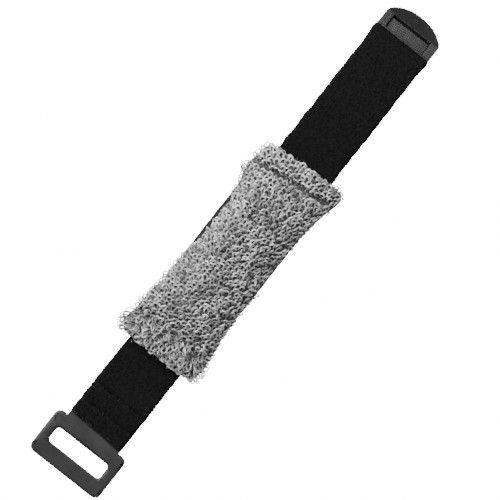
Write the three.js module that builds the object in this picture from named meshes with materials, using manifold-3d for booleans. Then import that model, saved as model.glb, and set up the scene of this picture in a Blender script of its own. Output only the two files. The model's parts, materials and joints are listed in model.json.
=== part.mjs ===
// Sweat wristband: a slot buckle sewn to a strap of loop-pile cloth, a stuffed terry pad on a black
// backing sewn across the strap, and a moulded hook patch on the strap's tip.
//
// Millimetres, +Z up. The band lies open and flat, with the terry face up. +X runs along the strap
// from the buckle to the tip, and Y runs across it. The origin is the middle of the band's
// footprint, on the surface that it lies on.
//
// The strap is one continuous cloth, and so are the pad's backing, foam and cover. Each is cut at the
// lines where the band bends, and the bending lines are hinges along Y.

import * as THREE from 'three';
import { mergeVertices } from 'three/addons/utils/BufferGeometryUtils.js';
import Module from 'manifold-3d';

const wasm = await Module();
wasm.setup();

// ---- Driving dimensions ----------------------------------------------------------------------

// Clearances
const LAYER_GAP = 0.3; // air between two pieces that lie on each other
const BEND_GAP = 0.3; // air between two panels at a bending line
const TILT_GAP = 0.7; // wider air at the line where the buckle end tilts
const LEAN = THREE.MathUtils.degToRad(2.5); // pad ends lean apart, so that the band can bend back
const SLOT_SIDE_GAP = 0.2; // air between the strap's edge and the end of the slot
const CUT = 1; // how far a cutting tool runs past what it cuts

// Strap
const STRAP_WIDTH = 24.6;
const STRAP_THICKNESS = 1.6;
const LEFT_STRAP = 18; // from the buckle's bending line to the next one
const PAD_MARGIN_LEFT = 1.4; // from that line to the pad's hem
const PAD_MARGIN_RIGHT = 1.2;
const RIGHT_STRAP = [17.5, 16.5]; // two panels between the pad and the fold
const FOLD_STRIP = 3.4; // between the two bending lines of the tail's fold
const TAIL = 16.5;
const TIP = 16.1;

// Buckle
const BUCKLE_THICKNESS = 2.4;
const BUCKLE_RISE = 0.5; // the plate climbs by this much from its outer bar to its neck
const OUTER_BAR = 6.4;
const INNER_BAR = 5.5;
const SIDE_BAR = 4;
const SLOT_OPENING = 7.3;
const BUCKLE_CORNER = 2.6;
const SLOT_CORNER = 1.4;
const NECK_SHOWING = 1.8;
const TONGUE_HIDDEN = 15.2; // how far the sew-on tongue reaches between the plies
const TONGUE_THICKNESS = 0.8;
const TONGUE_INSET = 0.3; // how much narrower than the strap the tongue is, on each side

// Sewn end, where two plies hold the buckle's tongue
const SEWN_END = 17;
const UNDER_PLY = 0.6;
const TOP_PLY = 1.2;
const STITCH_ROWS = [6.6, 14.4]; // distance of each row from the plies' edge

// Stitches
const STITCH_LENGTH = 2.2;
const STITCH_PITCH = 3;
const THREAD = 0.4;
const STITCH_GROOVE = 0.7; // depth of the dent that a row of stitches pulls into the cloth
const STITCH_MARGIN = 1.4; // from a row's last stitch to the cloth's edge

// Pad
const PAD_LENGTH = 91.4;
const PAD_PANELS = 5;
const BACKING_MARGIN = 3.45; // how far the backing stands out beyond the strap, on each side
const BACKING_THICKNESS = 0.8;
const COVER_WALL = 1.8;
const WAIST_WIDTH = 32;
const LEFT_END_WIDTH = 39;
const RIGHT_END_WIDTH = 38.4;
const PAD_HEIGHT = 6.6; // of the stuffed part, above the backing
const HEM_HEIGHT = 3.8;
const SEAM_HEIGHT = 2.2;
const LEFT_HEM = 10;
const RIGHT_HEM = 8.6;
const SHOULDER = 8; // from an end seam to where the pad is fully plump
const STUFFING_SETBACK = 4.5; // from an end seam to the foam's end, where the cover has room for it
const LEFT_FLARE = 30; // length over which the pad widens to its left end
const RIGHT_FLARE = 22;
const HEM_ROUNDING = 1.6; // how much a hem narrows at its outer edge, on each side
const SIDE_FALL = 0.5; // share of its height that the pad loses from its middle to its sides
const SIDE_SEAM_INSET = 1; // from the backing's edge to the side seam under it
const STEPS_ALONG = 36; // the pad's grid
const STEPS_ACROSS = 8;

// Hook patch
const PATCH_LENGTH = 11.9;
const PATCH_FLOOR = 0.5;
const PATCH_RIM = 1.2;
const RIM_SIDE = 3.7;
const RIM_END = 5.7;
const RECESS_START = 0.9; // from the patch's straight edge to its recess
const WELDED_PLY = 0.9; // thickness of the strap where the patch is welded on
const TIP_RADIUS = 17;
const TIP_SHOULDER = 0.9; // how much narrower than the strap the round end starts, on each side

// ---- Places worked out from them --------------------------------------------------------------

const lengths = {
  slotStart: OUTER_BAR,
  slotEnd: SLOT_OPENING,
  shoulder: INNER_BAR,
  pliesStart: NECK_SHOWING,
  buckleBend: SEWN_END,
  leftBend: LEFT_STRAP,
  padStart: PAD_MARGIN_LEFT,
  padEnd: PAD_LENGTH,
  rightBend: PAD_MARGIN_RIGHT,
  middleBend: RIGHT_STRAP[0],
  foldBend: RIGHT_STRAP[1],
  returnBend: FOLD_STRIP,
  tailBend: TAIL,
  tipEnd: TIP,
};
const overall = Object.values(lengths).reduce((sum, length) => sum + length, 0);
const at = {}; // the place along X of each station
let reached = -overall / 2;
for (const [station, length] of Object.entries(lengths)) {
  reached += length;
  at[station] = reached;
}
const BUCKLE_START = -overall / 2;
const BUCKLE_WIDTH = STRAP_WIDTH + 2 * SLOT_SIDE_GAP + 2 * SIDE_BAR;
const TONGUE_BOTTOM = UNDER_PLY + LAYER_GAP;
const TOP_PLY_BOTTOM = TONGUE_BOTTOM + TONGUE_THICKNESS + LAYER_GAP;
const TOP_PLY_TOP = TOP_PLY_BOTTOM + TOP_PLY;
const BACKING_WIDTH = STRAP_WIDTH + 2 * BACKING_MARGIN;
const BACKING_BOTTOM = STRAP_THICKNESS + LAYER_GAP;
const PAD_BASE = BACKING_BOTTOM + BACKING_THICKNESS + LAYER_GAP;
const PATCH_START = at.tipEnd - PATCH_LENGTH;
const PATCH_BOTTOM = WELDED_PLY + LAYER_GAP;
const PANEL_LENGTH = PAD_LENGTH / PAD_PANELS;

// ---- Materials ----------------------------------------------------------------------------------

function finish(color, roughness) {
  return new THREE.MeshStandardMaterial({ color, roughness, metalness: 0 });
}

const BUCKLE_PLASTIC = () => finish(0x4b4b4d, 0.45);
const PILE_CLOTH = () => finish(0x131314, 1);
const LINING_CLOTH = () => finish(0x1a1a1c, 0.9);
const TERRY = () => finish(0x8d8e90, 1);
const FOAM = () => finish(0xd8d6cf, 1);
const BACKING = () => finish(0x17171a, 0.95);
const HOOK_PLASTIC = () => finish(0x2c2c2e, 0.6);
const THREAD_BLACK = () => finish(0x0d0d0e, 0.8);
const THREAD_GREY = () => finish(0x6d6e70, 0.8);

// ---- Helpers --------------------------------------------------------------------------------------

const band = new THREE.Group();

function add(name, geometry, material) {
  const mesh = new THREE.Mesh(geometry, material);
  mesh.name = name;
  band.add(mesh);
}

function toSolid(geometry) {
  const bare = geometry.clone();
  bare.deleteAttribute('normal');
  bare.deleteAttribute('uv');
  const merged = mergeVertices(bare, 1e-4);
  return new wasm.Manifold(
    new wasm.Mesh({
      numProp: 3,
      vertProperties: new Float32Array(merged.attributes.position.array),
      triVerts: new Uint32Array(merged.index.array),
    }),
  );
}

function toGeometry(solid) {
  const mesh = solid.getMesh();
  const geometry = new THREE.BufferGeometry();
  geometry.setAttribute('position', new THREE.BufferAttribute(new Float32Array(mesh.vertProperties), 3));
  geometry.setIndex(new THREE.BufferAttribute(new Uint32Array(mesh.triVerts), 1));
  geometry.computeVertexNormals();
  return geometry;
}

// A flat block between two places along X and two heights, centred across the strap.
function slab(x0, x1, width, z0, z1) {
  const box = new THREE.BoxGeometry(x1 - x0, width, z1 - z0);
  return box.translate((x0 + x1) / 2, 0, (z0 + z1) / 2);
}

// A plan outline, extruded upwards between two heights.
function plate(shape, z0, z1) {
  const options = { depth: z1 - z0, bevelEnabled: false, curveSegments: 8 };
  return new THREE.ExtrudeGeometry(shape, options).translate(0, 0, z0);
}

// A side outline, drawn in X and Z, extruded across the strap.
function sideways(shape, width) {
  const options = { depth: width, bevelEnabled: false, curveSegments: 16 };
  return new THREE.ExtrudeGeometry(shape, options).rotateX(Math.PI / 2).translate(0, width / 2, 0);
}

function roundedRectangle(x0, x1, width, radius) {
  const shape = new THREE.Shape();
  const half = width / 2;
  shape.moveTo(x0 + radius, -half);
  shape.lineTo(x1 - radius, -half);
  shape.absarc(x1 - radius, radius - half, radius, -Math.PI / 2, 0, false);
  shape.lineTo(x1, half - radius);
  shape.absarc(x1 - radius, half - radius, radius, 0, Math.PI / 2, false);
  shape.lineTo(x0 + radius, half);
  shape.absarc(x0 + radius, half - radius, radius, Math.PI / 2, Math.PI, false);
  shape.lineTo(x0, radius - half);
  shape.absarc(x0 + radius, radius - half, radius, Math.PI, 1.5 * Math.PI, false);
  return shape;
}

// Where each stitch of a row starts, counted from the row's middle.
function stitchStarts(length) {
  const count = Math.floor((length - STITCH_LENGTH) / STITCH_PITCH) + 1;
  return Array.from({ length: count }, (_, i) => (i - (count - 1) / 2) * STITCH_PITCH - STITCH_LENGTH / 2);
}

// The outline of a sewing thread seen from beside its row: thick along each stitch, and half as
// thick where it runs to the next one. Its underside follows the height given for each place.
function threadOutline(length, underside) {
  const starts = stitchStarts(length);
  const below = starts.flatMap((start) => [start, start + STITCH_LENGTH]);
  const shape = new THREE.Shape();
  shape.moveTo(below[0], underside(below[0]));
  below.slice(1).forEach((place) => shape.lineTo(place, underside(place)));
  for (const start of starts.reverse()) {
    const end = start + STITCH_LENGTH;
    if (end < below.at(-1)) {
      shape.lineTo(end, underside(end) + THREAD / 2);
    }
    shape.lineTo(end, underside(end) + THREAD);
    shape.lineTo(start, underside(start) + THREAD);
    if (start > below[0]) {
      shape.lineTo(start, underside(start) + THREAD / 2);
    }
  }
  return shape;
}

// A row of stitches across the strap.
function stitchRow(x, width, underside) {
  const options = { depth: THREAD, bevelEnabled: false };
  const thread = new THREE.ExtrudeGeometry(threadOutline(width - 2 * STITCH_MARGIN, underside), options);
  return thread.rotateX(Math.PI / 2).rotateZ(Math.PI / 2).translate(x - THREAD / 2, 0, 0);
}

// ---- Buckle ---------------------------------------------------------------------------------------

// The plate's side outline is a long shallow arch that climbs towards the neck.
function archedPlate() {
  const reach = at.shoulder - BUCKLE_START;
  const middle = BUCKLE_START + reach / 2;
  const shape = new THREE.Shape();
  shape.moveTo(BUCKLE_START, 0);
  shape.quadraticCurveTo(middle, BUCKLE_RISE, at.shoulder, BUCKLE_RISE);
  shape.lineTo(at.shoulder, BUCKLE_THICKNESS + BUCKLE_RISE);
  shape.quadraticCurveTo(middle, BUCKLE_THICKNESS + BUCKLE_RISE, BUCKLE_START, BUCKLE_THICKNESS);
  return toSolid(sideways(shape, BUCKLE_WIDTH + 2 * CUT));
}

function slotBuckle() {
  const tall = BUCKLE_THICKNESS + BUCKLE_RISE + CUT;
  const frame = plate(roundedRectangle(BUCKLE_START, at.shoulder, BUCKLE_WIDTH, BUCKLE_CORNER), -CUT, tall);
  const slotLength = STRAP_WIDTH + 2 * SLOT_SIDE_GAP;
  const slot = plate(roundedRectangle(at.slotStart, at.slotEnd, slotLength, SLOT_CORNER), -2 * CUT, tall + CUT);
  const tongue = slab(
    at.shoulder - INNER_BAR / 2,
    at.pliesStart + TONGUE_HIDDEN,
    STRAP_WIDTH - 2 * TONGUE_INSET,
    TONGUE_BOTTOM,
    TONGUE_BOTTOM + TONGUE_THICKNESS,
  );
  return toGeometry(archedPlate().intersect(toSolid(frame)).subtract(toSolid(slot)).add(toSolid(tongue)));
}

add('slot_buckle', slotBuckle(), BUCKLE_PLASTIC());

// ---- Sewn end -------------------------------------------------------------------------------------

const pliesEnd = at.buckleBend - TILT_GAP / 2;

// The top ply has a dent across it for each row of stitches.
function topPly() {
  const ply = toSolid(slab(at.pliesStart, pliesEnd, STRAP_WIDTH, TOP_PLY_BOTTOM, TOP_PLY_TOP));
  const dents = STITCH_ROWS.map((distance) => {
    const x = at.pliesStart + distance;
    const reach = THREAD / 2 + LAYER_GAP;
    return toSolid(slab(x - reach, x + reach, STRAP_WIDTH + CUT, TOP_PLY_TOP - STITCH_GROOVE, TOP_PLY_TOP + CUT));
  });
  return toGeometry(dents.reduce((cloth, dent) => cloth.subtract(dent), ply));
}

add('sewn_end_top_ply', topPly(), PILE_CLOTH());
add('sewn_end_under_ply', slab(at.pliesStart, pliesEnd, STRAP_WIDTH, 0, UNDER_PLY), LINING_CLOTH());
STITCH_ROWS.forEach((distance, i) => {
  const underside = () => TOP_PLY_TOP - STITCH_GROOVE + LAYER_GAP;
  add(`buckle_stitches_${i + 1}`, stitchRow(at.pliesStart + distance, STRAP_WIDTH, underside), THREAD_BLACK());
});

// ---- Strap ----------------------------------------------------------------------------------------

function strapPanel(name, x0, x1, gap0 = BEND_GAP, gap1 = BEND_GAP) {
  const cloth = slab(x0 + gap0 / 2, x1 - gap1 / 2, STRAP_WIDTH, 0, STRAP_THICKNESS);
  add(name, cloth, PILE_CLOTH());
}

strapPanel('strap_panel_left', at.buckleBend, at.leftBend, TILT_GAP);
strapPanel('strap_panel_right_1', at.rightBend, at.middleBend);
strapPanel('strap_panel_right_2', at.middleBend, at.foldBend);
strapPanel('strap_panel_fold', at.foldBend, at.returnBend);
strapPanel('strap_panel_tail', at.returnBend, at.tailBend);

// ---- Pad ------------------------------------------------------------------------------------------

// The pad's outline: distance from its left end, width, and height above the backing.
const padStations = [
  [0, LEFT_END_WIDTH - 2 * HEM_ROUNDING, SEAM_HEIGHT],
  [LEFT_HEM / 2, LEFT_END_WIDTH, HEM_HEIGHT],
  [LEFT_HEM, LEFT_END_WIDTH - HEM_ROUNDING, SEAM_HEIGHT],
  [LEFT_HEM + SHOULDER, (LEFT_END_WIDTH + WAIST_WIDTH) / 2, PAD_HEIGHT],
  [LEFT_FLARE, WAIST_WIDTH, PAD_HEIGHT],
  [PAD_LENGTH - RIGHT_FLARE, WAIST_WIDTH, PAD_HEIGHT],
  [PAD_LENGTH - RIGHT_HEM - SHOULDER, (RIGHT_END_WIDTH + WAIST_WIDTH) / 2, PAD_HEIGHT],
  [PAD_LENGTH - RIGHT_HEM, RIGHT_END_WIDTH, SEAM_HEIGHT],
  [PAD_LENGTH - RIGHT_HEM / 2, RIGHT_END_WIDTH, HEM_HEIGHT],
  [PAD_LENGTH, RIGHT_END_WIDTH - 2 * HEM_ROUNDING, SEAM_HEIGHT],
];

// The width and height at a distance from the pad's left end, eased from one station to the next.
function easedOutline(distance) {
  const next = Math.max(1, padStations.findIndex((station) => station[0] >= distance - 1e-6));
  const [s0, width0, height0] = padStations[next - 1];
  const [s1, width1, height1] = padStations[next];
  const share = THREE.MathUtils.smoothstep(distance, s0, s1);
  return {
    width: THREE.MathUtils.lerp(width0, width1, share),
    height: THREE.MathUtils.lerp(height0, height1, share),
  };
}

// The same at a place along X, straight between the grid's lines, so that the cover's outside, its
// hollow and the foam all follow one surface.
const GRID_STEP = PAD_LENGTH / STEPS_ALONG;
function padOutline(x) {
  const line = THREE.MathUtils.clamp(Math.floor((x - at.padStart) / GRID_STEP), 0, STEPS_ALONG - 1);
  const share = (x - at.padStart) / GRID_STEP - line;
  const before = easedOutline(line * GRID_STEP);
  const after = easedOutline((line + 1) * GRID_STEP);
  return {
    width: THREE.MathUtils.lerp(before.width, after.width, share),
    height: THREE.MathUtils.lerp(before.height, after.height, share),
  };
}

// The height of the pad's top above the backing, at a place across it from -1 to 1.
function crown(height, across) {
  return height * (1 - SIDE_FALL * Math.abs(across) ** 3);
}

// A loaf-shaped length of the pad between two places along X: a box whose grid is drawn out to the
// pad's outline, less a wall all round.
function loaf(x0, x1, wall, floor) {
  const grid = Array.from({ length: STEPS_ALONG + 1 }, (_, i) => at.padStart + i * GRID_STEP);
  const lines = [x0, ...grid.filter((x) => x > x0 && x < x1), x1];
  const steps = lines.length - 1;
  const box = new THREE.BoxGeometry(1, 2, 1, steps, STEPS_ACROSS, 1);
  const position = box.attributes.position;
  for (let i = 0; i < position.count; i += 1) {
    const x = lines[Math.round((position.getX(i) + 0.5) * steps)];
    const across = position.getY(i);
    const up = position.getZ(i) + 0.5;
    const { width, height } = padOutline(x);
    const z = THREE.MathUtils.lerp(floor, PAD_BASE + crown(height, across) - wall, up);
    position.setXYZ(i, x, across * (width / 2 - wall), z);
  }
  return toSolid(box);
}

// The room that one panel of the pad may fill: a block whose ends lean inwards at the bending lines,
// so that the band can bend back.
function panelRoom(x0, x1, lean0, lean1) {
  const top = PAD_BASE + PAD_HEIGHT + CUT;
  const shape = new THREE.Shape();
  shape.moveTo(x0, 0);
  shape.lineTo(x1, 0);
  shape.lineTo(x1 - top * Math.tan(lean1), top);
  shape.lineTo(x0 + top * Math.tan(lean0), top);
  return toSolid(sideways(shape, LEFT_END_WIDTH + RIGHT_END_WIDTH));
}

// A side seam's stitches, under the edge of the backing that stands out beyond the strap.
function sideSeam(x0, x1, side) {
  const z = BACKING_BOTTOM - LAYER_GAP - THREAD;
  const y = side * (BACKING_WIDTH / 2 - SIDE_SEAM_INSET);
  const thread = sideways(threadOutline(x1 - x0 - STITCH_MARGIN, () => z), THREAD);
  return thread.translate((x0 + x1) / 2, y, 0);
}

// The cover is open underneath, where the foam rests on the backing, and solid at the hems.
const stuffedStart = at.padStart + LEFT_HEM + STUFFING_SETBACK;
const stuffedEnd = at.padEnd - RIGHT_HEM - STUFFING_SETBACK;
const coverOutside = loaf(at.padStart, at.padEnd, 0, PAD_BASE);
const coverHollow = loaf(stuffedStart, stuffedEnd, COVER_WALL, PAD_BASE - CUT);
const cover = coverOutside.subtract(coverHollow);
const foam = loaf(stuffedStart + LAYER_GAP, stuffedEnd - LAYER_GAP, COVER_WALL + LAYER_GAP, PAD_BASE);

for (let i = 0; i < PAD_PANELS; i += 1) {
  const first = i === 0;
  const last = i === PAD_PANELS - 1;
  const left = at.padStart + i * PANEL_LENGTH;
  const x0 = first ? left : left + BEND_GAP / 2;
  const x1 = last ? at.padEnd : left + PANEL_LENGTH - BEND_GAP / 2;

  // The strap runs on under the hems, to the bending lines just outside the pad.
  const strapStart = first ? at.leftBend + BEND_GAP / 2 : x0;
  const strapEnd = last ? at.rightBend - BEND_GAP / 2 : x1;
  add(`strap_under_pad_${i + 1}`, slab(strapStart, strapEnd, STRAP_WIDTH, 0, STRAP_THICKNESS), PILE_CLOTH());

  const backingTop = BACKING_BOTTOM + BACKING_THICKNESS;
  add(`pad_backing_${i + 1}`, slab(x0, x1, BACKING_WIDTH, BACKING_BOTTOM, backingTop), BACKING());

  const room = panelRoom(x0, x1, first ? 0 : LEAN, last ? 0 : LEAN);
  add(`terry_cover_${i + 1}`, toGeometry(cover.intersect(room)), TERRY());
  add(`pad_foam_${i + 1}`, toGeometry(foam.intersect(room)), FOAM());

  add(`side_seam_front_${i + 1}`, sideSeam(x0, x1, -1), THREAD_BLACK());
  add(`side_seam_back_${i + 1}`, sideSeam(x0, x1, 1), THREAD_BLACK());
}

// A row of stitches across the pad holds each end down, in the valley between stuffing and hem.
function endSeam(x) {
  const { width, height } = padOutline(x);
  const underside = (y) => PAD_BASE + crown(height, y / (width / 2)) + LAYER_GAP;
  return stitchRow(x, width, underside);
}

add('end_seam_left', endSeam(at.padStart + LEFT_HEM), THREAD_GREY());
add('end_seam_right', endSeam(at.padEnd - RIGHT_HEM), THREAD_GREY());

// ---- Tip and hook patch -----------------------------------------------------------------------------

// The tip's plan outline, from a straight edge across the strap to a shallow round end.
function tipOutline(x0) {
  const half = STRAP_WIDTH / 2;
  const turn = Math.asin((half - TIP_SHOULDER) / TIP_RADIUS);
  const centre = at.tipEnd - TIP_RADIUS;
  const straightEnd = centre + TIP_RADIUS * Math.cos(turn) - 2 * TIP_SHOULDER;
  const shape = new THREE.Shape();
  shape.moveTo(x0, -half);
  shape.lineTo(straightEnd, -half);
  shape.absarc(centre, 0, TIP_RADIUS, -turn, turn, false);
  shape.lineTo(straightEnd, half);
  shape.lineTo(x0, half);
  return shape;
}

function strapTip() {
  const pile = slab(at.tailBend + BEND_GAP / 2, PATCH_START - LAYER_GAP, STRAP_WIDTH, 0, STRAP_THICKNESS);
  const welded = plate(tipOutline(PATCH_START - LAYER_GAP - CUT), 0, WELDED_PLY);
  return toGeometry(toSolid(pile).add(toSolid(welded)));
}

function hookPatch() {
  const body = toSolid(plate(tipOutline(PATCH_START), PATCH_BOTTOM, PATCH_BOTTOM + PATCH_RIM));
  const recess = slab(
    PATCH_START + RECESS_START,
    at.tipEnd - RIM_END,
    STRAP_WIDTH - 2 * RIM_SIDE,
    PATCH_BOTTOM + PATCH_FLOOR,
    PATCH_BOTTOM + PATCH_RIM + CUT,
  );
  return toGeometry(body.subtract(toSolid(recess)));
}

add('strap_tip', strapTip(), PILE_CLOTH());
add('hook_patch', hookPatch(), HOOK_PLASTIC());

export default band;
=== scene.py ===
import json
import math

import bmesh
import bpy
import numpy as np
from mathutils import Matrix, Vector, noise
from mathutils.kdtree import KDTree


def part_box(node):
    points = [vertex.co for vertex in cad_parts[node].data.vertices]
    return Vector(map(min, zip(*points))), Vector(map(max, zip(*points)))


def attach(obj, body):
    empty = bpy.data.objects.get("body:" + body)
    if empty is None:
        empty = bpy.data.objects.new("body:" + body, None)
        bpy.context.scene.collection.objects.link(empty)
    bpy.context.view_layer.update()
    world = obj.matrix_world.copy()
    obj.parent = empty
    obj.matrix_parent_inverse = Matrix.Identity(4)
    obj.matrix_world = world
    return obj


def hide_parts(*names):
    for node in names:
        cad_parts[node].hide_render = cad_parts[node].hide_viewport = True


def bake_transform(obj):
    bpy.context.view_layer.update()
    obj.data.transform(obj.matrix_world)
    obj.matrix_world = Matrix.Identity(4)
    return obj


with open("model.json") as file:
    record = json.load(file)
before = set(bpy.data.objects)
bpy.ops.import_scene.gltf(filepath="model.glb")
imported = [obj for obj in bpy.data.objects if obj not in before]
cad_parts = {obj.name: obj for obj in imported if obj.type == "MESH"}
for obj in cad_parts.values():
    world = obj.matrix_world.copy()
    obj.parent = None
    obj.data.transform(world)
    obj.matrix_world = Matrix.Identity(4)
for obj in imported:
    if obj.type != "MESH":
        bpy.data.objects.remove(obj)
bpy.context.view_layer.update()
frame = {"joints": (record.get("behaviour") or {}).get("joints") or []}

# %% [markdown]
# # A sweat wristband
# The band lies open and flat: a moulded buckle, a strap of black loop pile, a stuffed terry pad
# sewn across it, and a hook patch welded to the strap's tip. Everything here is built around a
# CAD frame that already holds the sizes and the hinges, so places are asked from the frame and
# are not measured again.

MM = 0.001  # the pieces are shaped in millimetres and stored in metres
chance = np.random.default_rng(7)  # one seeded source for everything irregular

# %% Places from the frame
hinges = {j["name"]: j["pos_m"][0] / MM for j in frame["joints"]}


def box(node):
    """The lowest and highest corner of a CAD node, in millimetres."""
    low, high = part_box(node)
    return low / MM, high / MM


BUCKLE_LOW, BUCKLE_HIGH = box("slot_buckle")
STRAP_HALF = box("strap_panel_left")[1].y
STRAP_TOP = box("strap_panel_left")[1].z
PLIES_START = box("sewn_end_top_ply")[0].x
PAD_LEFT, PAD_RIGHT = box("terry_cover_1")[0].x, box("terry_cover_5")[1].x
PAD_BASE = box("terry_cover_1")[0].z
PAD_TOP = box("terry_cover_3")[1].z
PATCH_LEFT, TIP_END = box("hook_patch")[0].x, box("hook_patch")[1].x
print("pad from", round(PAD_LEFT, 2), "to", round(PAD_RIGHT, 2), "and up to", round(PAD_TOP, 2))

# %% [markdown]
# ## Camera, floor and light
# The band is seen from straight above and turned on the page. A long lens far away keeps its two
# ends the same size. The floor is a plain pale sheet, far enough below for the band to stay clear
# of it when it is curled, and see-through from underneath, so that the underside can be looked at.
# The light is a strong soft lamp beyond the band's back edge, a weaker one beyond its tip, a faint
# one in front, and an even sky, as in a small light tent.

# %% Camera
TURN_DEG = 51.72  # how steeply the strap runs up the view
VIEW_CENTRE = (0.0006, -0.0034)
DISTANCE, FRAME_WIDTH, SENSOR = 1.2, 0.1894, 36.0
camera_data = bpy.data.cameras.new("camera")
camera_data.sensor_width = SENSOR
camera_data.lens = SENSOR * DISTANCE / FRAME_WIDTH
camera = bpy.data.objects.new("camera", camera_data)
camera.location = (*VIEW_CENTRE, DISTANCE)
camera.rotation_euler = (0, 0, -math.radians(TURN_DEG))
bpy.context.scene.collection.objects.link(camera)
bpy.context.scene.camera = camera
print("camera:", round(camera_data.lens), "mm lens at", DISTANCE, "m")

# %% Node helpers
def add_node(tree, kind, inputs=None, **settings):
    """A node with its settings, whose inputs are values or other nodes' sockets."""
    made = tree.nodes.new("ShaderNode" + kind)
    for key, value in settings.items():
        setattr(made, key, value)
    for key, value in (inputs or {}).items():
        if isinstance(value, bpy.types.NodeSocket):
            tree.links.new(value, made.inputs[key])
        else:
            made.inputs[key].default_value = value
    return made


def maths(tree, operation, a, b=0.0, c=0.0):
    return add_node(tree, "Math", {0: a, 1: b, 2: c}, operation=operation).outputs[0]


def mixed(tree, share, a, b):
    """Two colours mixed by a share from 0 to 1."""
    return add_node(tree, "Mix", {0: share, 6: a, 7: b}, data_type="RGBA").outputs[2]


def spread_over(tree, value, low, high, new_low=0.0, new_high=1.0):
    """A value moved from one range to another and held inside it."""
    inputs = {0: value, 1: low, 2: high, 3: new_low, 4: new_high}
    return add_node(tree, "MapRange", inputs).outputs[0]


def new_group(name, inputs, outputs):
    """An empty node group with named inputs and outputs, and the sockets of its two end nodes."""
    group = bpy.data.node_groups.new(name, "ShaderNodeTree")
    for label, value in inputs.items():
        socket = group.interface.new_socket(label, in_out="INPUT", socket_type="NodeSocketFloat")
        socket.default_value = value
    for label in outputs:
        group.interface.new_socket(label, in_out="OUTPUT", socket_type="NodeSocketFloat")
    return group, group.nodes.new("NodeGroupInput").outputs, group.nodes.new("NodeGroupOutput").inputs


def put_out(group, outs, **values):
    """Link values to a group's outputs by name."""
    for label, value in values.items():
        group.links.new(value, outs[label])


def place_group(tree, group, **inputs):
    """A group placed in a material with values of its own; returns its outputs."""
    made = tree.nodes.new("ShaderNodeGroup")
    made.node_tree = group
    for key, value in inputs.items():
        made.inputs[key.replace("_", " ").title()].default_value = value
    return made.outputs


def new_material(name):
    """A material with its Principled shader, ready to be wired."""
    material = bpy.data.materials.new(name)
    material.use_nodes = True
    tree = material.node_tree
    return material, tree, tree.nodes["Principled BSDF"]


def raise_surface(tree, shader, height, distance, strength=1.0):
    """Feed a height to the shader's normal through a bump, in millimetres."""
    inputs = {"Height": height, "Distance": distance * MM, "Strength": strength}
    tree.links.new(add_node(tree, "Bump", inputs).outputs[0], shader.inputs["Normal"])


# %% Floor
FLOOR_GLOW, FLOOR_HEIGHT, FLOOR_HALF = 16.0, -0.085, 3
floor_material, tree, shader = new_material("pale_floor")
shader.inputs["Base Color"].default_value = (0.8, 0.8, 0.8, 1)
shader.inputs["Roughness"].default_value = 0.9
glow = add_node(tree, "Emission", {"Strength": FLOOR_GLOW})
seen = add_node(tree, "LightPath").outputs["Is Camera Ray"]
lit = add_node(tree, "AddShader", {0: shader.outputs[0], 1: glow.outputs[0]})
floor_mix = add_node(tree, "MixShader", {0: seen, 1: shader.outputs[0], 2: lit.outputs[0]})
from_below = add_node(tree, "NewGeometry").outputs["Backfacing"]
clear = add_node(tree, "BsdfTransparent")
one_sided = add_node(tree, "MixShader", {0: from_below, 1: floor_mix.outputs[0], 2: clear.outputs[0]})
tree.links.new(one_sided.outputs[0], tree.nodes["Material Output"].inputs[0])
floor_mesh = bpy.data.meshes.new("floor")
bm = bmesh.new()
bmesh.ops.create_grid(bm, x_segments=1, y_segments=1, size=FLOOR_HALF)
bmesh.ops.translate(bm, vec=(0, 0, FLOOR_HEIGHT), verts=bm.verts)
bm.to_mesh(floor_mesh)
bm.free()
floor_mesh.materials.append(floor_material)
floor = bpy.data.objects.new("floor", floor_mesh)
bpy.context.scene.collection.objects.link(floor)

# %% Lamps and sky
SKY_STRENGTH = 0.24
LAMPS = (  # name, place, size across, power
    ("key_lamp", (0.08, 0.85, 0.5), 0.4, 40),
    ("side_lamp", (1.0, 0.15, 1.15), 0.5, 16),
    ("fill_lamp", (-0.1, -1.0, 0.35), 0.8, 6),
)
for name, place, size, power in LAMPS:
    data = bpy.data.lights.new(name, "AREA")
    data.size, data.energy = size, power
    lamp = bpy.data.objects.new(name, data)
    lamp.location = place
    lamp.rotation_euler = (-Vector(place)).to_track_quat("-Z", "Y").to_euler()
    bpy.context.scene.collection.objects.link(lamp)
world = bpy.data.worlds.new("studio")
world.use_nodes = True
sky = world.node_tree.nodes["Background"].inputs
sky["Color"].default_value = (1, 1, 1, 1)
sky["Strength"].default_value = SKY_STRENGTH
bpy.context.scene.world = world
print("lamps:", len(LAMPS))

# %% [markdown]
# ## Finishes
# Four things repeat over the band, so each is a node group that is built once: the grain of moulded
# plastic, the fibres in a yarn, the weave of a plain cloth, and edges that are worn and carry a painted
# highlight. A group gives only masks and heights, and each material decides what to do with them.

# %% Grain of moulded plastic
plastic_grain, ins, outs = new_group("plastic_grain", {"Scale": 3000.0}, ("Height", "Patches"))
place = add_node(plastic_grain, "TexCoord").outputs["Object"]
fine = add_node(plastic_grain, "TexNoise", {"Vector": place, "Scale": ins["Scale"], "Detail": 2})
broad = add_node(plastic_grain, "TexNoise", {"Vector": place, "Scale": 130.0, "Detail": 3})
patches = spread_over(plastic_grain, broad.outputs[0], 0.3, 0.7)
put_out(plastic_grain, outs, Height=fine.outputs[0], Patches=patches)

# %% Worn edges with a painted highlight
edge_wear_and_highlight, ins, outs = new_group("edge_wear_and_highlight", {"Amount": 1.0}, ("Mask",))
sharpness = add_node(edge_wear_and_highlight, "NewGeometry").outputs["Pointiness"]
place = add_node(edge_wear_and_highlight, "TexCoord").outputs["Object"]
patchy = add_node(edge_wear_and_highlight, "TexNoise", {"Vector": place, "Scale": 700.0, "Detail": 3})
# sharp edges are painted lighter in patches: partly wear, partly a painted highlight
lightened = maths(edge_wear_and_highlight, "MULTIPLY", spread_over(edge_wear_and_highlight, sharpness, 0.51, 0.58), patchy.outputs[0])
put_out(edge_wear_and_highlight, outs, Mask=maths(edge_wear_and_highlight, "MULTIPLY", lightened, ins["Amount"]))

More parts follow.
